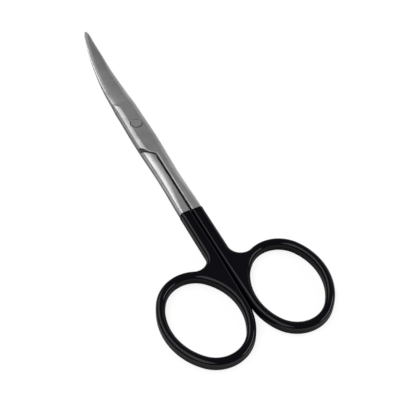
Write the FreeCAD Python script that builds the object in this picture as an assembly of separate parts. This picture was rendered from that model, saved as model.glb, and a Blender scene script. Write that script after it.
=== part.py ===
import FreeCAD, Part
import math
import os

# Curved dissecting scissors with finger rings and a black coated handle.
# Two forged steel halves cross in a lap joint and turn on one screw.
# Millimetres. +X runs to the tips, +Y across, +Z up. The underside of the joint is at z = 0.
# The shapes are made about the pivot axis, and moved at the end so that the origin is
# the centre of the closed scissors' footprint.

# Length, from the pivot
blade_reach = 37.6
handle_reach = 77.4
coat_reach = 34.7

# Box, which is the flat part round the screw
box_thickness = 3.15
box_half_width = 3.2
box_round_width = 2.35
box_round_height = 0.9
box_front_reach = 8.0
grinding_stock = 0.03
box_rear_reach = 8.1

# Shanks between the box and the handle coat
waist_reach = 21.0
waist_half_width = 2.98
waist_round_width = 2.3
waist_round_height = 1.25

# Handle, measured over its coat
handle_thickness = 3.05
handle_half_width = 3.12
handle_edge_radius = 0.95
parting_edge_radius = 0.5
parting_edge_reach = 48.0
parting_edge_excess = 0.03
hole_half_length = 11.04
hole_half_width = 8.43
ring_wire = 2.16
oval_join_angle = math.radians(51.0)
ring_tilt = math.radians(6.85)
crotch_radius = 3.3
coat_step = 0.08

# Gaps between the halves
parting_gap = 0.5
lap_gap = 0.12
shoulder_gap = 0.3

# Shoulder, where a shank of one half runs up to the box of the other
shoulder_outer_reach = 10.1
shoulder_inner_reach = 12.9
shoulder_corner_radius = 1.0
scallop_radius = 1.6
scallop_rise = 0.5
scallop_setback = 0.55
scallop_tilt = math.radians(21.0)
groove_at_shoulder = 0.15
groove_at_coat = 0.35

# Blades
crease_reach = 9.9
crease_skew = 0.27
crease_spine_round_width = 0.9
crease_spine_round_height = 0.6
crease_edge_round_height = 1.35
blade_root_reach = 12.4
blade_root_half_width = 3.09
blade_tip_half_width = 0.36
blade_root_height = 1.45
blade_tip_height = 0.34
blade_stations = (0.0, 0.19, 0.4, 0.6, 0.78, 0.91, 0.97, 1.0)
taper_root_power = 1.384
taper_tip_power = 0.623
curve_start = 17.0
curve_radius = 35.0
cutting_edge_land = 0.14
spine_round_width = 0.42
spine_round_height = 0.18
bevel_width = 0.36
bevel_height = 0.62
blade_mating_stock = 0.375

# Screw, threaded into the upper half and running in the lower half
screw_radius = 1.6
screw_head_radius = 2.1
screw_head_recess = 0.12
screw_running_clearance = 0.05
screw_thread_clearance = 0.02
screw_mouth_gap = 0.13
screw_mouth_depth = 0.35
slot_width = 0.55
slot_depth = 0.5

mid_height = box_thickness / 2

# Length by which cutting shapes run past the steel, and the distance taken as the same place
beyond = 5.0
same_place = 1e-6


def vector(x, y, z=0.0):
    return FreeCAD.Vector(x, y, z)


def half_turned(shape):
    """A copy turned by half a turn about the scissors' long axis, which swaps the two halves."""
    turned = shape.copy()
    turned.rotate(vector(0, 0, mid_height), vector(1, 0, 0), 180)
    return turned


def box_between(low, high):
    size = [b - a for a, b in zip(low, high)]
    return Part.makeBox(*size, vector(*low))


def face_of(edges):
    return Part.Face(Part.Wire(edges))


def polygon_face(corners):
    return Part.Face(Part.makePolygon([*corners, corners[0]]))


def edges_at(solid, middle):
    return [e for e in solid.Edges if (e.CenterOfMass - middle).Length < same_place]


def section(place, corners, rounds):
    """Closed wire through corners (across, up), each rounded by a parabola.

    A round is (length taken off the side before, length taken off the side after), or None
    for a sharp corner. place turns (across, up) into a point of the section's plane.
    """
    count = len(corners)
    cuts = []
    for i, corner in enumerate(corners):
        here = place(*corner)
        if rounds[i] is None:
            cuts.append((here, here, here))
            continue
        before = place(*corners[i - 1])
        after = place(*corners[(i + 1) % count])
        start = here + (before - here).normalize() * rounds[i][0]
        end = here + (after - here).normalize() * rounds[i][1]
        cuts.append((start, here, end))
    edges = []
    for i, (start, here, end) in enumerate(cuts):
        if rounds[i] is not None:
            corner_curve = Part.BezierCurve()
            corner_curve.setPoles([start, here, end])
            edges.append(corner_curve.toShape())
        edges.append(Part.makeLine(end, cuts[(i + 1) % count][0]))
    return Part.Wire(edges)


# Closed scissors from the coat to the front of the box, both halves in one


def envelope_section(x, half_width, thickness, round_width, round_height):
    low = mid_height - thickness / 2
    high = mid_height + thickness / 2
    corners = [(-half_width, low), (half_width, low), (half_width, high), (-half_width, high)]
    along_up = (round_width, round_height)
    along_down = (round_height, round_width)
    return section(lambda y, z: vector(x, y, z), corners, [along_down, along_up, along_down, along_up])


def envelope():
    """Forged bar of the closed scissors, with grinding_stock left on the box above and below."""
    forged_thickness = box_thickness + 2 * grinding_stock
    shank_thickness = handle_thickness - 2 * coat_step
    shank_half_width = handle_half_width - coat_step
    box_round = (box_round_width, box_round_height)
    waist_round = (waist_round_width, waist_round_height)
    waist_thickness = (shank_thickness + forged_thickness) / 2
    before_box = (waist_reach + shoulder_outer_reach) / 2
    neck_half_width = (waist_half_width + box_half_width) / 2
    half_way = (coat_reach + waist_reach) / 2
    middle_round = [(a + handle_edge_radius) / 2 for a in waist_round]
    stations = [
        (-coat_reach, shank_half_width, shank_thickness, handle_edge_radius, handle_edge_radius),
        (-half_way, (shank_half_width + waist_half_width) / 2, shank_thickness, *middle_round),
        (-waist_reach, waist_half_width, waist_thickness, *waist_round),
        (-before_box, neck_half_width, (waist_thickness + forged_thickness) / 2, *waist_round),
        (-box_rear_reach, box_half_width, forged_thickness, *box_round),
        (0.0, box_half_width, forged_thickness, *box_round),
        (box_front_reach, box_front_half_width(), forged_thickness, *box_round),
    ]
    forged = Part.makeLoft([envelope_section(*s) for s in stations], True, False)
    groove = parting_groove()
    return forged.cut(groove).cut(half_turned(groove))


def box_front_half_width():
    return (box_half_width + blade_root_half_width) / 2


def parting_groove():
    """V between the shanks' upper inner edges, widening from the shoulder to the coat."""
    surface = mid_height + handle_thickness / 2
    high = box_thickness + beyond
    ends = []
    for x, chamfer in ((-shoulder_inner_reach, groove_at_shoulder), (-coat_reach, groove_at_coat)):
        depth = parting_gap / 2 + chamfer
        reach = depth + high - surface
        ends.append([vector(x, -reach, high), vector(x, reach, high), vector(x, 0, surface - depth)])
    front, rear = ends
    sides = [[front[i - 1], front[i], rear[i], rear[i - 1]] for i in range(len(front))]
    return Part.Solid(Part.Shell([polygon_face(corners) for corners in (front, rear, *sides)]))


# Blades


def blade_point(x, up_side):
    """Mapping of (across, up) at distance x from the pivot onto the curved blade's section plane.

    The blade's middle line is straight to curve_start, then an arc of curve_radius that
    rises. up_side is 1 for the upper blade and -1 for the lower one, which is the upper
    one's section turned by half a turn.
    """
    angle = math.asin(max(0.0, x - curve_start) / curve_radius)
    rise = curve_radius * (1 - math.cos(angle))

    def place(across, up):
        return vector(x - up_side * up * math.sin(angle), up_side * across,
                      mid_height + rise + up_side * up * math.cos(angle))

    return place


def crease_point(up_side):
    """Mapping onto the slanting plane where the ground blade begins."""

    def place(across, up):
        return vector(crease_reach - crease_skew * across, up_side * across, mid_height + up_side * up)

    return place


def blade_section(place, half_width, spine_height, edge_height, spine_round, edge_round):
    low = -blade_mating_stock
    corners = [(-half_width, low), (half_width, low), (half_width, spine_height), (-half_width, edge_height)]
    return section(place, corners, [None, None, spine_round, edge_round])


def blade_blank(up_side):
    """One blade with its mating side left thick: spine at +across, cutting edge at -across.

    Half width = tip + (root - tip) * (1 - s^root_power)^tip_power, where s runs from 0 at
    the root to 1 at the tip. The spine's height falls evenly from root to tip, and the top
    leans towards the cutting edge by bevel_height times s.
    """
    height = box_thickness / 2 + grinding_stock
    front = blade_section(blade_point(box_front_reach, up_side), box_front_half_width(), height, height,
                          (box_round_height, box_round_width), (box_round_width, box_round_height))
    crease = blade_section(crease_point(up_side), blade_root_half_width, height, height,
                           (crease_spine_round_height, crease_spine_round_width),
                           (box_round_width, crease_edge_round_height))
    box_end = Part.makeLoft([front, crease], True, True)
    wires = [crease]
    for share in blade_stations:
        x = blade_root_reach + share * (blade_reach - blade_root_reach)
        fullness = (1 - share ** taper_root_power) ** taper_tip_power
        half_width = blade_tip_half_width + (blade_root_half_width - blade_tip_half_width) * fullness
        spine = blade_tip_height + (blade_root_height - blade_tip_height) * (1 - share)
        edge = cutting_edge_land + (spine - cutting_edge_land) * (1 - bevel_height * share)
        spine_round = (spine * spine_round_height, 2 * half_width * spine_round_width)
        edge_round = (2 * half_width * bevel_width, edge - cutting_edge_land)
        wires.append(blade_section(blade_point(x, up_side), half_width, spine, edge, spine_round, edge_round))
    blade = Part.makeLoft(wires, True, False)
    return box_end.fuse(blade)


def lap_layer(up_side):
    """Everything on one side of the halves' mating surface.

    Ahead of the screw the surface is turned about the pivot axis, first flat and then rising
    on the blades' arc, so that one blade can sweep over the other without touching.
    """
    radius = curve_radius - up_side * lap_gap / 2
    centre = vector(curve_start, 0, mid_height + curve_radius)
    end_angle = math.asin((blade_reach + beyond / 2 - curve_start) / curve_radius)

    def on_arc(angle):
        return centre + vector(radius * math.sin(angle), 0, -radius * math.cos(angle))

    far = mid_height + up_side * (curve_radius + beyond)
    flat_end = on_arc(0.0)
    middle = on_arc(end_angle / 2)
    rim = on_arc(end_angle)
    edges = [
        Part.makeLine(vector(0, 0, flat_end.z), flat_end),
        Part.Arc(flat_end, middle, rim).toShape(),
        Part.makeLine(rim, vector(rim.x, 0, far)),
        Part.makeLine(vector(rim.x, 0, far), vector(0, 0, far)),
        Part.makeLine(vector(0, 0, far), vector(0, 0, flat_end.z)),
    ]
    profile = face_of(edges)
    profile.rotate(vector(0, 0), vector(0, 0, 1), -90)
    ahead = profile.revolve(vector(0, 0), vector(0, 0, 1), 180)
    behind = box_between((-handle_reach, -rim.x, min(flat_end.z, far)), (0, rim.x, max(flat_end.z, far)))
    return ahead.fuse(behind)


# Shoulder pocket


def shoulder_pocket(side_of_gap):
    """Space at +Y in the upper layer for the lower half's shank.

    side_of_gap is 1 for the shank's own outline and -1 for the hollow that it stands in.
    """
    inset = side_of_gap * shoulder_gap / 2
    side = waist_half_width + beyond
    inner = vector(-shoulder_inner_reach - inset, side_of_gap * parting_gap / 2)
    slope = (shoulder_inner_reach - shoulder_outer_reach) / box_half_width
    outer = vector(inner.x + slope * (side - inner.y), side)
    corners = [inner, outer, vector(-coat_reach, side), vector(-coat_reach, inner.y)]
    solid = polygon_face(corners).extrude(vector(0, 0, beyond))
    upright = edges_at(solid, inner + vector(0, 0, beyond / 2))
    solid = solid.makeFillet(shoulder_corner_radius - inset, upright)
    solid.translate(vector(0, 0, mid_height - lap_gap / 2))
    return solid


def shoulder_scallop():
    """Grinding wheel's track in the box's end over the shank, fading out towards the parting line."""
    run = vector(shoulder_outer_reach - shoulder_inner_reach, -box_half_width).normalize()
    back = vector(run.y, -run.x)
    direction = run * math.cos(scallop_tilt) + vector(0, 0, math.sin(scallop_tilt))
    start = vector(-shoulder_outer_reach, box_half_width, box_thickness + scallop_rise)
    start = start + back * scallop_setback - direction * beyond
    wheel = Part.makeCylinder(scallop_radius, 2 * beyond, start, direction)
    return wheel.common(box_between((-handle_reach, 0, mid_height), (0, 2 * beyond, 2 * beyond)))


# Steel half, front part


def ground_flat(shape):
    above = box_between((-handle_reach, -beyond, box_thickness), (blade_root_reach, beyond, 2 * beyond))
    return shape.cut(above).cut(half_turned(above))


def front_half(up_side):
    """Blade, box layer and bare shank of one half, in the upper half's position or its turned one."""
    # The upper half's own shank is at -Y, so its free pocket is at +Y in the upper layer.
    whole = ground_flat(envelope().fuse(blade_blank(up_side)))
    taken = shoulder_pocket(-1)
    own = shoulder_pocket(1)
    scallop = shoulder_scallop()
    if up_side > 0:
        own = half_turned(own)
    else:
        taken = half_turned(taken)
        scallop = half_turned(scallop)
    layer = whole.common(lap_layer(up_side)).cut(taken).cut(scallop)
    shank = whole.common(own)
    return layer.fuse(shank).removeSplitter()


# Handle


def on_circle(centre, radius, angle):
    return centre + vector(radius * math.cos(angle), radius * math.sin(angle))


def circle_arc(centre, radius, start, end):
    points = [on_circle(centre, radius, angle) for angle in (start, (start + end) / 2, end)]
    return Part.Arc(*points).toShape()


def coat_inner_side():
    return parting_gap / 2 - coat_step


def ring_arcs(grow, low):
    """The four tangent arcs of the ring's oval, grown by grow, each as (centre, radius, start, end).

    The arcs meet where the outline's normal leans by oval_join_angle to the oval's long axis.
    They start with the end arc towards the shank and go round by way of the outer side.
    """
    cosine = math.cos(oval_join_angle)
    sine = math.sin(oval_join_angle)
    end_radius_less = (hole_half_length - hole_half_width) / (cosine + sine - 1)
    end_radius = hole_half_length - end_radius_less * cosine
    side_radius = end_radius + end_radius_less
    along = vector(math.cos(ring_tilt), math.sin(ring_tilt)) * (hole_half_length - end_radius)
    across = vector(-math.sin(ring_tilt), math.cos(ring_tilt)) * (side_radius - hole_half_width)
    middle = vector(
        along.x - handle_reach + end_radius + ring_wire,
        coat_inner_side() + side_radius + ring_wire - across.y,
        low,
    )
    joins = [ring_tilt + side * oval_join_angle + turn for turn in (0, math.pi) for side in (-1, 1)]
    joins.append(joins[0] + 2 * math.pi)
    centres = [middle + along, middle - across, middle - along, middle + across]
    radii = [end_radius + grow, side_radius + grow] * 2
    return list(zip(centres, radii, joins[:-1], joins[1:]))


def parting_strip_section(x, low, radius):
    """Closed wire at x of a strip along the parting, with its two corners there rounded."""
    high = low + handle_thickness
    front = coat_inner_side()
    back = front + ring_wire / 2
    bulge = radius * (1 - math.sqrt(0.5))
    under = vector(x, front + radius, low)
    lower_end = vector(x, front, low + radius)
    upper_end = vector(x, front, high - radius)
    over = vector(x, front + radius, high)
    return Part.Wire([
        Part.makeLine(vector(x, back, low), under),
        Part.Arc(under, vector(x, front + bulge, low + bulge), lower_end).toShape(),
        Part.makeLine(lower_end, upper_end),
        Part.Arc(upper_end, vector(x, front + bulge, high - bulge), over).toShape(),
        Part.makeLine(over, vector(x, back, high)),
        Part.makeLine(vector(x, back, high), vector(x, back, low)),
    ])


def parting_strip(front_x, rear_x, low):
    """Fills the handle's edges at the parting to their smaller radius, which grows towards the ring."""
    stations = [
        (front_x, parting_edge_radius),
        (-parting_edge_reach, parting_edge_radius),
        (rear_x, handle_edge_radius + parting_edge_excess),
    ]
    return Part.makeLoft([parting_strip_section(x, low, radius) for x, radius in stations], True, True)


def handle_blank():
    """Ring and shank of the handle at +Y, running on past the coat's edge."""
    low = mid_height - handle_thickness / 2
    near_end, outer_side, far_end, inner_side = ring_arcs(ring_wire, low)
    outer_y = handle_half_width
    inner_y = coat_inner_side()
    front_x = -coat_reach + beyond

    # The crotch is an arc that touches the shank's outer side and the ring's near end.
    centre, radius, _, join = near_end
    touch = math.asin((outer_y + crotch_radius - centre.y) / (radius + crotch_radius))
    crotch_centre = on_circle(centre, radius + crotch_radius, touch)
    outline = face_of([
        Part.makeLine(vector(front_x, outer_y, low), vector(crotch_centre.x, outer_y, low)),
        circle_arc(crotch_centre, crotch_radius, -math.pi / 2, touch - math.pi),
        circle_arc(centre, radius, touch, join),
        circle_arc(*outer_side),
        circle_arc(*far_end),
        circle_arc(*inner_side[:3], 1.5 * math.pi),
        Part.makeLine(vector(inner_side[0].x, inner_y, low), vector(front_x, inner_y, low)),
        Part.makeLine(vector(front_x, inner_y, low), vector(front_x, outer_y, low)),
    ])
    hole = face_of([circle_arc(*arc) for arc in ring_arcs(0.0, low)])
    solid = outline.cut(hole).extrude(vector(0, 0, handle_thickness))
    level = [e for e in solid.Edges if e.BoundBox.ZLength < same_place]
    rims = [e for e in level if e.BoundBox.XMin < front_x - same_place]
    return solid.makeFillet(handle_edge_radius, rims).fuse(parting_strip(front_x, inner_side[0].x, low))


def behind_coat_edge(shape):
    return shape.common(box_between((-handle_reach - beyond, -handle_reach, -beyond),
                                    (-coat_reach, handle_reach, 2 * beyond)))


# Screw


def pivot_screw():
    """Screw with a countersunk, slotted head below and a plain end ground flush above."""
    profile = polygon_face([
        vector(0, 0, screw_head_recess),
        vector(screw_head_radius, 0, screw_head_recess),
        vector(screw_radius, 0, screw_head_recess + screw_head_radius - screw_radius),
        vector(screw_radius, 0, box_thickness),
        vector(0, 0, box_thickness),
    ])
    slot = box_between((-screw_head_radius - beyond, -slot_width / 2, -beyond),
                       (screw_head_radius + beyond, slot_width / 2, screw_head_recess + slot_depth))
    return profile.revolve(vector(0, 0), vector(0, 0, 1), 360).cut(slot)


def screw_hole(clearance):
    """Hole for the screw, with its head's cone below and a wider mouth round its end above."""
    radius = screw_radius + clearance
    shaft = Part.makeCylinder(radius, box_thickness + 2 * beyond, vector(0, 0, -beyond))
    head = Part.makeCone(screw_head_radius + clearance + beyond, radius,
                         screw_head_radius + clearance + beyond - radius,
                         vector(0, 0, screw_head_recess - beyond))
    mouth = Part.makeCylinder(screw_radius + screw_mouth_gap, beyond,
                              vector(0, 0, box_thickness - screw_mouth_depth))
    return shaft.fuse(head).fuse(mouth)


# Assembly


def half(up_side):
    handle = behind_coat_edge(handle_blank())
    if up_side > 0:
        handle = half_turned(handle)
    clearance = screw_thread_clearance if up_side > 0 else screw_running_clearance
    return front_half(up_side).fuse(handle).cut(screw_hole(clearance)).removeSplitter()


def build():
    nodes = {"lower_half": half(-1), "upper_half": half(1), "pivot_screw": pivot_screw()}
    os.makedirs("parts", exist_ok=True)
    to_origin = vector((handle_reach - blade_reach) / 2, 0, 0)
    for name, shape in nodes.items():
        shape.translate(to_origin)
        shape.exportStep(os.path.join("parts", name + ".step"))
        box = shape.BoundBox
        print(name, "valid", shape.isValid(), "solids", len(shape.Solids), "faces", len(shape.Faces),
              "volume", round(shape.Volume, 2), "x", round(box.XMin, 2), round(box.XMax, 2),
              "y", round(box.YMin, 2), round(box.YMax, 2), "z", round(box.ZMin, 3), round(box.ZMax, 3))


build()
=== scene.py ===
import math
import bpy
import mathutils
import numpy as np
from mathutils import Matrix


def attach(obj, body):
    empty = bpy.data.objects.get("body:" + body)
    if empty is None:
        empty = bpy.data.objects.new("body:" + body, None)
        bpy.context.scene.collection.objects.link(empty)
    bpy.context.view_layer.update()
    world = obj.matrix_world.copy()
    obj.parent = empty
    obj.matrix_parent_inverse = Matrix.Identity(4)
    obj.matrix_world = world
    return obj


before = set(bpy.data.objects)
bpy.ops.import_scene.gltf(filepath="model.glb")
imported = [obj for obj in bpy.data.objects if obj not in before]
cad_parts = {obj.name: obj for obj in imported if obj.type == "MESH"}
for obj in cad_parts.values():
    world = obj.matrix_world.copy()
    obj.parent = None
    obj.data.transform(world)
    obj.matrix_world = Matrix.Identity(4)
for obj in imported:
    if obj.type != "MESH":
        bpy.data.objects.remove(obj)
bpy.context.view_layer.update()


# Lower half: one drop forging of martensitic stainless steel, with its blade, its share of
# the lap joint, its shank and its ring in one. It is ground along its length on a belt, its
# blade is ground across, and its edges are broken by hand on a polishing wheel.

# Millimetres. Reaches and places are measured from the pivot, which is at pivot_place along X.
pivot_place = 19.9
box_thickness = 3.15
middle_height = box_thickness / 2
crease_reach = 9.9
crease_skew = 0.27
shoulder_outer = (-10.1, 3.2)
shoulder_inner = (-12.9, 0.0)
hollow_reach = 1.1
screw_seat_radius = 1.8
blade_reach = 37.6
blade_root_reach = 12.4
blade_root_half_width, blade_tip_half_width = 3.09, 0.36
taper_root_power, taper_tip_power = 1.384, 0.623
spine_strip = 1.05
# Colour of the painted shade in the hollow at the joint's end and round the screw.
painted_shade_colour = "#6a6e6d"

# How many there are in a metre.
streaks_across = 2400
shank_streaks_along = 90
blade_streaks_along = 200
dull_patches = 220
painted_shade_patches = 700


def linear(colour):
    """Linear light of an sRGB hex colour, with an alpha of one."""
    parts = [int(colour[i:i + 2], 16) / 255 for i in (1, 3, 5)]
    return [p / 12.92 if p <= 0.04045 else ((p + 0.055) / 1.055) ** 2.4 for p in parts] + [1.0]


def add(tree, kind, settings=None, **links):
    """A node of a kind: settings go to its properties or sockets, links to its input sockets.

    A link is named for its socket, with _ for a space, or by _ and the socket's number.
    """
    node = tree.nodes.new("ShaderNode" + kind)
    for name, value in (settings or {}).items():
        if isinstance(name, int) or name in node.inputs:
            node.inputs[name].default_value = value
        else:
            setattr(node, name, value)
    for name, source in links.items():
        key = int(name[1:]) if name[0] == "_" and name[1:].isdigit() else name.replace("_", " ")
        tree.links.new(source, node.inputs[key])
    return node


def material(name):
    """A material with an empty tree of nodes, and that tree."""
    made = bpy.data.materials.new(name)
    made.use_nodes = True
    made.node_tree.nodes.clear()
    return made, made.node_tree


def grind_marks(tree, place, along_x):
    """Streaks of a grinding belt, long in X or in Y and narrow in the other two directions."""
    # Belt marks are 0.03 mm wide. They are drawn wider, because finer ones wouldn't show.
    scale = [streaks_across] * 3
    scale[0 if along_x else 1] = shank_streaks_along if along_x else blade_streaks_along
    stretched = add(tree, "Mapping", {"Scale": scale}, Vector=place).outputs[0]
    return add(tree, "TexNoise", {"Scale": 1.0, "Detail": 4.0, "Roughness": 0.6},
               Vector=stretched).outputs["Fac"]


def ramp(tree, value, start, end):
    """A value's place between start and end, from 0 to 1, and held there outside them."""
    low, high = min(start, end), max(start, end)
    ends = {"From Min": low, "From Max": high, "To Min": float(start > end), "To Max": float(start < end)}
    return add(tree, "MapRange", ends, Value=value).outputs[0]


def times(tree, a, b):
    """The product of two values."""
    return add(tree, "Math", {"operation": "MULTIPLY"}, _0=a, _1=b).outputs[0]


def patches(tree, place):
    """Patches where the painted shade is deep, and lighter places between them."""
    spread = add(tree, "TexNoise", {"Scale": painted_shade_patches, "Detail": 1.0}, Vector=place).outputs["Fac"]
    return add(tree, "MapRange", {"From Min": 0.4, "From Max": 0.6, "To Min": 0.25}, Value=spread).outputs[0]


def hollow_shade(tree, own, axes):
    """One in the hollow at the joint's end, which gets painted shade: near the box's end, on the spine's
    side, below the face.
    """
    run = np.subtract(shoulder_inner, shoulder_outer) / math.dist(shoulder_inner, shoulder_outer)
    to_end = (run[1], -run[0], 0)
    past_corner = add(tree, "VectorMath", {"operation": "SUBTRACT", 1: (*shoulder_outer, 0)},
                      _0=own).outputs[0]
    past_end = add(tree, "VectorMath", {"operation": "DOT_PRODUCT", 1: to_end},
                   _0=past_corner).outputs["Value"]
    near_end = times(tree, ramp(tree, past_end, -hollow_reach, -hollow_reach + 0.1),
                     ramp(tree, axes.outputs["Y"], 0.1, 0.3))
    below_face = times(tree, ramp(tree, axes.outputs["Z"], middle_height - 0.04, middle_height - 0.14),
                       ramp(tree, axes.outputs["Z"], 0.1, 0.2))
    return times(tree, near_end, below_face)


def painted_spine_highlight(tree, axes, crease, to_tip):
    """One on the strip along the spine, which a painted highlight brightens against the blade's face.

    Half the blade's width is tip + (root - tip) * (1 - to_tip^root_power)^tip_power, where
    to_tip runs from 0 at the root to 1 at the tip. The strip grows in beyond the crease.
    """
    narrowing = add(tree, "Math", {"operation": "POWER", 1: taper_root_power}, _0=to_tip).outputs[0]
    narrowing = add(tree, "Math", {"operation": "SUBTRACT", 0: 1.0}, _1=narrowing).outputs[0]
    narrowing = add(tree, "Math", {"operation": "POWER", 1: taper_tip_power}, _0=narrowing).outputs[0]
    spine = add(tree, "Math", {"operation": "MULTIPLY_ADD", 1: blade_root_half_width - blade_tip_half_width,
                               2: blade_tip_half_width}, _0=narrowing).outputs[0]
    from_spine = add(tree, "Math", {"operation": "SUBTRACT"}, _0=spine, _1=axes.outputs["Y"]).outputs[0]
    return times(tree, ramp(tree, from_spine, spine_strip + 0.12, spine_strip - 0.12),
                 ramp(tree, crease, crease_reach + 6.0, crease_reach + 22.0))


def satin_steel(name, half_side):
    """Satin ground stainless steel: an even grey whose fine marks soften and stretch its highlights.

    Ahead of the blade's crease the marks run across. half_side is 1 for the upper half, whose
    crease slants one way, and -1 for the lower one. Painted shade darkens the hollow ground at the
    joint's end and, in patches, the rim of the screw's seat. The box is a little darker. Painted
    shade darkens the side walls and the blade's face towards the tip, and a painted highlight
    brightens a strip along the spine.
    """
    made, tree = material(name)
    place = add(tree, "TexCoord").outputs["Object"]
    # Millimetres from the pivot, seen from this half's own outer side.
    own = add(tree, "Mapping", {"Scale": (1000, 1000 * half_side, 1000 * half_side),
                                "Location": (-pivot_place, 0, -half_side * middle_height)},
              Vector=place).outputs[0]
    axes = add(tree, "SeparateXYZ", Vector=own)
    crease = add(tree, "Math", {"operation": "MULTIPLY_ADD", 1: crease_skew}, _0=axes.outputs["Y"],
                 _2=axes.outputs["X"]).outputs[0]
    on_blade = ramp(tree, crease, crease_reach - 0.1, crease_reach + 0.1)
    marks = add(tree, "Mix", {"data_type": "FLOAT"}, Factor=on_blade,
                _2=grind_marks(tree, place, True), _3=grind_marks(tree, place, False)).outputs[0]
    level = add(tree, "VectorMath", {"operation": "MULTIPLY", 1: (1, 1, 0)}, _0=own).outputs[0]
    from_pivot = add(tree, "VectorMath", {"operation": "LENGTH"}, _0=level).outputs["Value"]
    seat = ramp(tree, from_pivot, screw_seat_radius + 0.05, screw_seat_radius - 0.05)
    # Painted shade in the hollow at the joint's end and, in patches, on the rim of the screw's seat.
    painted_shade = add(tree, "Math", {"operation": "MAXIMUM"}, _0=hollow_shade(tree, own, axes),
               _1=times(tree, seat, patches(tree, place))).outputs[0]
    cloud = add(tree, "TexNoise", {"Scale": dull_patches, "Detail": 4.0, "Roughness": 0.6},
                Vector=place).outputs["Fac"]
    tone = add(tree, "ValToRGB", Fac=marks)
    tone.color_ramp.elements[0].position = 0.3
    tone.color_ramp.elements[0].color = linear("#d3d3d3")
    tone.color_ramp.elements[1].position = 0.7
    tone.color_ramp.elements[1].color = linear("#dfdfdf")
    # The box is ground last and on a finer stone than the shank and the blade, and is greyer.
    on_box = times(tree, ramp(tree, axes.outputs["X"], -17.0, -9.0),
                   ramp(tree, crease, crease_reach + 0.1, crease_reach - 0.1))
    greyed = add(tree, "Mix", {"data_type": "RGBA", "blend_type": "MULTIPLY", 7: linear("#efefef")},
                 _0=on_box, _6=tone.outputs[0]).outputs[2]
    # Handling and cleaning leave dull patches.
    dull = add(tree, "MapRange", {"From Min": 0.45, "From Max": 0.75}, Value=cloud).outputs[0]
    greyed = add(tree, "Mix", {"data_type": "RGBA", "blend_type": "MULTIPLY", 7: linear("#e4e5e4")},
                 _0=dull, _6=greyed).outputs[2]
    # Painted shade darkens the blade's face a little towards the tip, and a painted highlight brightens the
    # strip along its spine.
    to_tip = ramp(tree, axes.outputs["X"], blade_root_reach, blade_reach)
    greyed = add(tree, "Mix", {"data_type": "RGBA", "blend_type": "MULTIPLY", 7: linear("#eaeaea")},
                 _0=to_tip, _6=greyed).outputs[2]
    greyed = add(tree, "Mix", {"data_type": "RGBA", 7: linear("#f8f8f8")},
                 _0=painted_spine_highlight(tree, axes, crease, to_tip), _6=greyed).outputs[2]
    # Painted shade: the side walls, picked out by normals that lean along Y, are darkened against the faces.
    lean = add(tree, "SeparateXYZ", Vector=add(tree, "TexCoord").outputs["Normal"]).outputs["Y"]
    lean = add(tree, "Math", {"operation": "ABSOLUTE"}, _0=lean).outputs[0]
    greyed = add(tree, "Mix", {"data_type": "RGBA", "blend_type": "MULTIPLY", 7: linear("#cdcfcf")},
                 _0=ramp(tree, lean, 0.82, 0.96), _6=greyed).outputs[2]
    # The painted shade is laid over the steel's tone.
    with_painted_shade = add(tree, "Mix", {"data_type": "RGBA", 7: linear(painted_shade_colour)}, _0=painted_shade, _6=greyed).outputs[2]
    rough = add(tree, "MapRange", {"To Min": 0.33, "To Max": 0.41}, Value=cloud).outputs[0]
    # Broken edges are rounded by 0.2 mm, less than the CAD's facets can show.
    broken = add(tree, "Bevel", {"samples": 8, "Radius": 0.0002}).outputs[0]
    bump = add(tree, "Bump", {"Strength": 0.04, "Distance": 0.00002}, Height=marks, Normal=broken).outputs[0]
    shader = add(tree, "BsdfPrincipled", {"Metallic": 1.0}, Base_Color=with_painted_shade, Roughness=rough, Normal=bump)
    add(tree, "OutputMaterial", Surface=shader.outputs[0])
    return made


def dress(node, finish):
    """Gives a node of the CAD model its finish."""
    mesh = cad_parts[node].data
    mesh.materials.clear()
    mesh.materials.append(finish)


dress("lower_half", satin_steel("satin_ground_stainless_steel_lower", -1))


# Upper half: the same forging turned over, so that the blades meet. Its end of the lap joint
# is hollowed by a small grinding wheel over the other shank, and it is tapped for the screw.

dress("upper_half", satin_steel("satin_ground_stainless_steel_upper", 1))


# Pivot screw: turned from stainless bar, with a slotted countersunk head below. Its plain end
# is ground flush with the upper half, and painted shade on the rim of its end draws the fine dark ring round
# it.

screw_radius = 1.6
drawn_ring_spacing = 0.3


def screw_steel():
    """Faced screw steel: slightly brighter than the halves, with turning marks round its axis."""
    made, tree = material("turned_stainless_screw_steel")
    place = add(tree, "TexCoord").outputs["Object"]
    centred = add(tree, "Mapping", {"Location": (-pivot_place / 1000, 0, 0)}, Vector=place).outputs[0]
    # Turning marks are 0.05 mm apart. Here they are wider apart, so that they show. At a scale
    # of 1 the wave repeats every tau / 20 metres.
    wave_scale = 1000 * math.tau / 20 / drawn_ring_spacing
    rings = add(tree, "TexWave", {"wave_type": "RINGS", "rings_direction": "Z", "Scale": wave_scale,
                                  "Distortion": 0.6, "Detail": 2.0}, Vector=centred).outputs["Fac"]
    level = add(tree, "VectorMath", {"operation": "MULTIPLY", 1: (1000, 1000, 0)}, _0=centred).outputs[0]
    from_axis = add(tree, "VectorMath", {"operation": "LENGTH"}, _0=level).outputs["Value"]
    # Painted shade: a patchy dark line on the rim of the screw's end, where the gap round it is in shade.
    rim = times(tree, ramp(tree, from_axis, screw_radius - 0.14, screw_radius - 0.08), patches(tree, place))
    tone = add(tree, "ValToRGB", Fac=rings)
    tone.color_ramp.elements[0].color = linear("#cacaca")
    tone.color_ramp.elements[1].color = linear("#d2d2d2")
    with_painted_shade = add(tree, "Mix", {"data_type": "RGBA", 7: linear(painted_shade_colour)}, _0=rim,
                 _6=tone.outputs[0]).outputs[2]
    rough = add(tree, "MapRange", {"To Min": 0.34, "To Max": 0.4}, Value=rings).outputs[0]
    shader = add(tree, "BsdfPrincipled", {"Metallic": 1.0}, Base_Color=with_painted_shade, Roughness=rough)
    add(tree, "OutputMaterial", Surface=shader.outputs[0])
    return made


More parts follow.
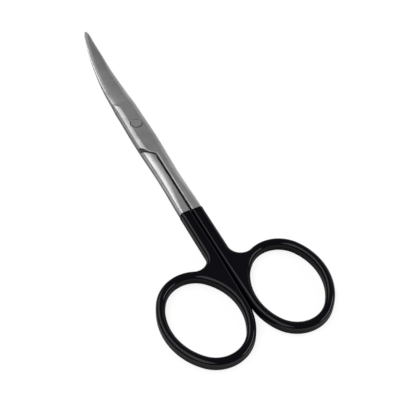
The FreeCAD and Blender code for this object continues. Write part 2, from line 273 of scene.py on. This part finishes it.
dress("pivot_screw", screw_steel())


# Handle coats: the ring and the rear shank of each half are sprayed with black enamel, which
# is stoved on over the satin steel. The coat is 0.08 mm thick, wraps the whole handle and
# ends in a clean masked line across the shank, 34.7 mm behind the screw.

# Millimetres, over the coat.
coat_reach = 34.7
handle_reach = 77.4
half_width = 3.12
half_parting_gap = 0.17
half_thickness = 1.525
edge_radius = 0.95
parting_edge_radius = 0.5
parting_edge_reach = 48.0
parting_edge_growth = 0.48
hole_half_length, hole_half_width = 11.04, 8.43
wire = 2.16
tilt = math.radians(6.85)
join = math.radians(51.0)
crotch_radius = 3.3
coat_stand_off = 0.02
lip_depth = 0.13
orange_peel_wave = 0.8

# How many there are in a metre.
gloss_patches = 300


def arc(centre, radius, start, end, side, count):
    """Points centre + radius * (cos, sin) from angle start to angle end, with normals side * (cos, sin)."""
    angle = np.linspace(start, end, count)
    turn = np.stack([np.cos(angle), np.sin(angle)], axis=1)
    return np.hstack([np.asarray(centre) + radius * turn, side * turn])


def handle_outline():
    """Paths round the handle at +Y and round its hole, each row a point and its outward normal.

    The ring is an oval of four tangent arcs that meet where the normal leans by the join
    angle to the long axis. A crotch arc leads from it to the shank's outer side.
    """
    less = (hole_half_length - hole_half_width) / (math.cos(join) + math.sin(join) - 1)
    end_radius = hole_half_length - less * math.cos(join)
    side_radius = end_radius + less
    along = np.array([math.cos(tilt), math.sin(tilt)]) * (hole_half_length - end_radius)
    across = np.array([-math.sin(tilt), math.cos(tilt)]) * (side_radius - hole_half_width)
    middle = np.array([along[0] - handle_reach + end_radius + wire,
                       half_parting_gap + side_radius + wire - across[1]])
    near, outer, far, inner = middle + along, middle - across, middle - along, middle + across
    end, side = end_radius + wire, side_radius + wire
    touch = math.asin((half_width + crotch_radius - near[1]) / (end + crotch_radius))
    crotch = near + (end + crotch_radius) * np.array([math.cos(touch), math.sin(touch)])
    left, right = tilt - join, tilt + join
    straight = np.linspace(-coat_reach, inner[0], 24)
    inner_side = np.stack([straight, straight * 0 + half_parting_gap, straight * 0, straight * 0 - 1], axis=1)
    straight = np.linspace(crotch[0], -coat_reach, 12)
    outer_side = np.stack([straight, straight * 0 + half_width, straight * 0, straight * 0 + 1], axis=1)
    outline = np.vstack([
        inner_side,
        arc(inner, side, 1.5 * math.pi, math.pi + right, 1, 24)[1:],
        arc(far, end, math.pi + right, math.pi + left, 1, 48)[1:],
        arc(outer, side, math.pi + left, right, 1, 48)[1:],
        arc(near, end, right, touch, 1, 32)[1:],
        arc(crotch, crotch_radius, touch - math.pi, -0.5 * math.pi, -1, 24)[1:],
        outer_side[1:],
    ])
    hole = np.vstack([
        arc(near, end_radius, left, right, -1, 48),
        arc(outer, side_radius, right, math.pi + left, -1, 48)[1:],
        arc(far, end_radius, math.pi + left, math.pi + right, -1, 48)[1:],
        arc(inner, side_radius, math.pi + right, 2 * math.pi + left, -1, 48)[1:-1],
    ])
    return outline, hole


def edge_radii(path):
    """Radius of the coat's edges along a path: smaller at the parting, growing evenly to the ring's."""
    at_parting = (path[:, 3] == -1) & (path[:, 1] == half_parting_gap)
    ring_start = path[at_parting, 0].min()
    share = np.clip((-parting_edge_reach - path[:, 0]) / (-parting_edge_reach - ring_start), 0, 1)
    grown = np.minimum(parting_edge_radius + parting_edge_growth * share, edge_radius)
    return np.where(at_parting, grown, edge_radius)


def band_points(path, radii, stand_off):
    """Grid of points: the handle's edge profile carried along a path of points and normals.

    The profile goes over the top edge's quarter round, down the side and under: its offset
    from the path is (radius + stand_off) * cos - radius, and its height follows with sin.
    """
    angle = np.linspace(0.5 * math.pi, 0, 13)
    reach = (radii + stand_off)[:, None]
    offset = reach * np.cos(angle) - radii[:, None]
    height = reach * np.sin(angle) + half_thickness - radii[:, None]
    offset = np.hstack([offset, offset[:, ::-1]])
    height = middle_height + np.hstack([height, -height[:, ::-1]])
    flat = path[:, None, :2] + offset[:, :, None] * path[:, None, 2:]
    return np.concatenate([flat, height[:, :, None]], axis=2)


def grid_faces(rows, columns, first, closed=False):
    """Quads of a grid of rows by columns whose points start at first; closed joins the last row to row 0."""
    u = np.arange(rows if closed else rows - 1)[:, None]
    v = np.arange(columns - 1)[None, :]
    here, ahead = first + u * columns + v, first + (u + 1) % rows * columns + v
    return np.stack([here, ahead, ahead + 1, here + 1], axis=2).reshape(-1, 4)


def flat_faces(outer, hole, points, up):
    """Triangles of the level face between two loops of point numbers, all facing up or all down."""
    loops = [[(*points[i][:2], 0.0) for i in loop] for loop in (outer, hole)]
    numbers = np.concatenate([outer, hole])
    faces = numbers[np.array(mathutils.geometry.tessellate_polygon(loops))]
    a, b, c = (points[faces[:, k]][:, :2] for k in range(3))
    turn = (b - a)[:, 0] * (c - a)[:, 1] - (b - a)[:, 1] * (c - a)[:, 0]
    wrong = turn * up < 0
    faces[wrong] = faces[wrong][:, ::-1]
    return faces


def coat_shape():
    """Points and faces of the +Y handle's coat: outer band, hole band, two flats and the lip."""
    outline, hole = handle_outline()
    radii = edge_radii(outline)
    band = band_points(outline, radii, coat_stand_off)
    bore = band_points(hole, np.full(len(hole), edge_radius), coat_stand_off)
    lip = band_points(outline[[0, -1]], radii[[0, -1]], -lip_depth)
    points = np.concatenate([band.reshape(-1, 3), bore.reshape(-1, 3), lip.reshape(-1, 3)])
    rows, columns = band.shape[:2]
    bore_first = rows * columns
    lip_first = bore_first + len(hole) * columns
    start = np.arange(columns)
    end = (rows - 1) * columns + start
    outer_loop = np.concatenate([start[::-1], end])
    lip_loop = lip_first + np.concatenate([start[::-1], columns + start])
    count = 2 * columns
    k = np.arange(count)
    after = (k + 1) % count
    lip_faces = np.stack([outer_loop[k], outer_loop[after], lip_loop[after], lip_loop[k]], axis=1)
    quads = np.concatenate([grid_faces(rows, columns, 0),
                            grid_faces(len(hole), columns, bore_first, True), lip_faces])
    top = flat_faces(np.arange(rows) * columns, bore_first + np.arange(len(hole)) * columns, points, 1)
    under = flat_faces(np.arange(rows) * columns + columns - 1,
                       bore_first + np.arange(len(hole)) * columns + columns - 1, points, -1)
    return points, [*quads.tolist(), *top.tolist(), *under.tolist()]


def gloss_enamel():
    """Stoved black enamel: deep black with a hard gloss, so only its edges catch the light."""
    made, tree = material("gloss_black_stoved_enamel")
    place = add(tree, "TexCoord").outputs["Object"]
    peel = add(tree, "TexNoise", {"Scale": 1000 / orange_peel_wave, "Detail": 2.0},
               Vector=place).outputs["Fac"]
    cloud = add(tree, "TexNoise", {"Scale": gloss_patches, "Detail": 3.0}, Vector=place).outputs["Fac"]
    tone = add(tree, "ValToRGB", Fac=cloud)
    tone.color_ramp.elements[0].color = linear("#04040a")
    tone.color_ramp.elements[1].color = linear("#070814")
    rough = add(tree, "MapRange", {"To Min": 0.06, "To Max": 0.12}, Value=cloud).outputs[0]
    bump = add(tree, "Bump", {"Strength": 0.1, "Distance": 0.00001}, Height=peel).outputs[0]
    shader = add(tree, "BsdfPrincipled", {"IOR": 1.5, "Specular IOR Level": 0.3},
                 Base_Color=tone.outputs[0], Roughness=rough, Normal=bump)
    add(tree, "OutputMaterial", Surface=shader.outputs[0])
    return made


enamel = gloss_enamel()
points, faces = coat_shape()
turned = points * (1, -1, -1) + (0, 0, 2 * middle_height)
for name, body, shape in (("lower_coat", "lower", points), ("upper_coat", "upper", turned)):
    mesh = bpy.data.meshes.new(name)
    mesh.from_pydata(((shape + (pivot_place, 0, 0)) / 1000).tolist(), [], faces)
    mesh.shade_smooth()
    mesh.materials.append(enamel)
    coat = bpy.data.objects.new(name, mesh)
    bpy.context.scene.collection.objects.link(coat)
    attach(coat, body)


# Floor: a light table of opal glass, larger than the picture shows. Lit from below it is
# plain white and keeps the scissors' faint shadow. Under and close beside the steel, where
# no light gets in, it shows dark in the steel's sides and in the parting.

# Metres.
table_half_side = 9
table_drop = 0.00002
contact_reach = 0.03
table_glow = 0.83


def opal_glass():
    """Matt opal glass. The eye sees its whole glow; metal and glass see it fade out near the steel."""
    made, tree = material("opal_glass_light_table")
    shader = add(tree, "BsdfDiffuse", {"Color": linear("#9c9c9c")})
    ray = add(tree, "LightPath")
    open_share = add(tree, "AmbientOcclusion", {"Distance": contact_reach, "samples": 8}).outputs["AO"]
    open_share = add(tree, "Math", {"operation": "POWER", 1: 8.0}, _0=open_share).outputs[0]
    mirrored = add(tree, "Math", {"operation": "MAXIMUM"}, _0=ray.outputs["Is Glossy Ray"],
                   _1=ray.outputs["Is Transmission Ray"]).outputs[0]
    seen = add(tree, "Math", {"operation": "MAXIMUM"}, _0=ray.outputs["Is Camera Ray"],
               _1=times(tree, mirrored, open_share)).outputs[0]
    glow = add(tree, "Math", {"operation": "MULTIPLY", 1: table_glow}, _0=seen).outputs[0]
    light = add(tree, "Emission", {"Color": linear("#ffffff")}, Strength=glow)
    both = add(tree, "AddShader", _0=shader.outputs[0], _1=light.outputs[0])
    add(tree, "OutputMaterial", Surface=both.outputs[0])
    return made


floor_mesh = bpy.data.meshes.new("light_table")
signs = ((-1, -1), (1, -1), (1, 1), (-1, 1))
corners = [(x * table_half_side, y * table_half_side, -table_drop) for x, y in signs]
floor_mesh.from_pydata(corners, [], [(0, 1, 2, 3)])
floor_mesh.materials.append(opal_glass())
floor = bpy.data.objects.new("light_table", floor_mesh)
bpy.context.scene.collection.objects.link(floor)


# Light: a dim white tent with three softboxes. The long one hangs beside the lower half and
# makes the streak on its crowned edges. Two low ones fill the other side, and the narrow one
# of them draws the thin lines on the coats' edges.

def softbox(name, place, turn, length, width, radiance):
    """Rectangular area lamp that faces the scissors and shows the given radiance.

    Its long side is level, and is turned from X towards Y by turn degrees as seen from above.
    """
    lamp = bpy.data.lights.new(name, "AREA")
    lamp.shape = "RECTANGLE"
    lamp.size = length
    lamp.size_y = width
    lamp.energy = radiance * math.pi * length * width
    away = mathutils.Vector(place).normalized()
    level = mathutils.Vector((math.cos(math.radians(turn)), math.sin(math.radians(turn)), 0))
    side = away.cross(level).normalized()
    made = bpy.data.objects.new(name, lamp)
    made.matrix_world = mathutils.Matrix((side.cross(away), side, away)).transposed().to_4x4()
    made.location = place
    bpy.context.scene.collection.objects.link(made)


softbox("side_softbox", (0.12, 0.42, 0.85), -15, 2.0, 0.7, 1.56)
softbox("far_fill", (0.6, -0.8, 0.5), 0, 0.9, 0.5, 0.46)
softbox("near_fill", (-0.35, -0.75, 0.55), 0, 0.9, 0.2, 4.5)

world = bpy.data.worlds.new("light_tent")
world.use_nodes = True
world.node_tree.nodes["Background"].inputs["Color"].default_value = linear("#ffffff")
world.node_tree.nodes["Background"].inputs["Strength"].default_value = 0.135
bpy.context.scene.world = world
bpy.context.scene.view_settings.view_transform = "Standard"


# Camera: a 72 mm lens, 157 mm over the table behind the rings, looking along the scissors.

lens = bpy.data.cameras.new("camera")
lens.lens = 72
lens.sensor_width = 36
camera = bpy.data.objects.new("camera", lens)
right = (-0.44422, -0.89591, 0.00242)
up = (0.68069, -0.33575, 0.6511)
back = (-0.58252, 0.29089, 0.75898)
camera.matrix_world = mathutils.Matrix((right, up, back)).transposed().to_4x4()
camera.location = (-0.13142, 0.05579, 0.15740)
bpy.context.scene.collection.objects.link(camera)
bpy.context.scene.camera = camera
